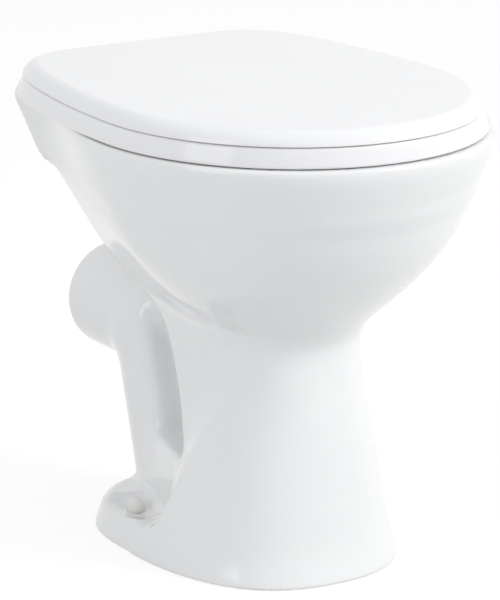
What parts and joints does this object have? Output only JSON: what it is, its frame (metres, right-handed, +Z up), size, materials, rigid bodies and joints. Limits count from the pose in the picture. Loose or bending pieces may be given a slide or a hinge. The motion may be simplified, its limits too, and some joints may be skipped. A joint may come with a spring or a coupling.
{
  "type": "floor-standing toilet",
  "caption": "Floor-standing white china toilet with a pedestal, a horizontal outlet, and a hinged oval seat and lid.",
  "frame": {"origin": "midway between the two floor screw holes, on the floor", "axes": "+Z up, +Y to the back along the outlet, +X across, so the front of the bowl looks along -Y"},
  "size_m": [0.3596, 0.4963, 0.4266],
  "materials": {
    "glazed_china": "gloss white glaze",
    "white_seat": "gloss white",
    "white_lid": "gloss white",
    "hinge_plastic": "satin white",
    "pin_steel": "ground",
    "bolt_steel": "zinc grey",
    "soft_rubber": "matt grey",
    "nut_plastic": "matt natural",
    "cap_plastic": "gloss warm white",
    "buffer_rubber": "matt pale grey"
  },
  "bodies": {
    "pan": {"pan": "glazed_china", "hinge_post_left": "hinge_plastic", "hinge_pin_left": "pin_steel", "hinge_gasket_left": "soft_rubber", "hinge_bolt_left": "bolt_steel", "bolt_cone_left": "soft_rubber", "bolt_washer_left": "bolt_steel", "wing_nut_left": "nut_plastic", "cap_washer_left": "nut_plastic", "hinge_post_right": "hinge_plastic", "hinge_pin_right": "pin_steel", "hinge_gasket_right": "soft_rubber", "hinge_bolt_right": "bolt_steel", "bolt_cone_right": "soft_rubber", "bolt_washer_right": "bolt_steel", "wing_nut_right": "nut_plastic", "cap_washer_right": "nut_plastic"},
    "seat": {"seat_ring": "white_seat", "seat_buffer_front_left": "buffer_rubber", "seat_buffer_front_right": "buffer_rubber", "seat_buffer_back_left": "buffer_rubber", "seat_buffer_back_right": "buffer_rubber"},
    "lid": {"lid": "white_lid", "lid_buffer_front_left": "buffer_rubber", "lid_buffer_front_right": "buffer_rubber", "lid_buffer_back_left": "buffer_rubber", "lid_buffer_back_right": "buffer_rubber"},
    "cap_left": {"floor_screw_cap_left": "cap_plastic"},
    "cap_right": {"floor_screw_cap_right": "cap_plastic"}
  },
  "joints": [
    {"name": "seat_hinge", "type": "hinge", "parent": "pan", "child": "seat", "pos_m": [0, 0.121, 0.412], "axis": [-1, 0, 0], "range_deg": [0, 95]},
    {"name": "lid_hinge", "type": "hinge", "parent": "seat", "child": "lid", "pos_m": [0, 0.121, 0.412], "axis": [-1, 0, 0], "range_deg": [0, 100]},
    {"name": "cap_lift_left", "type": "slide", "parent": "pan", "child": "cap_left", "axis": [0, 0, 1], "range_m": [0, 0.03]},
    {"name": "cap_lift_right", "type": "slide", "parent": "pan", "child": "cap_right", "axis": [0, 0, 1], "range_m": [0, 0.03]}
  ]
}
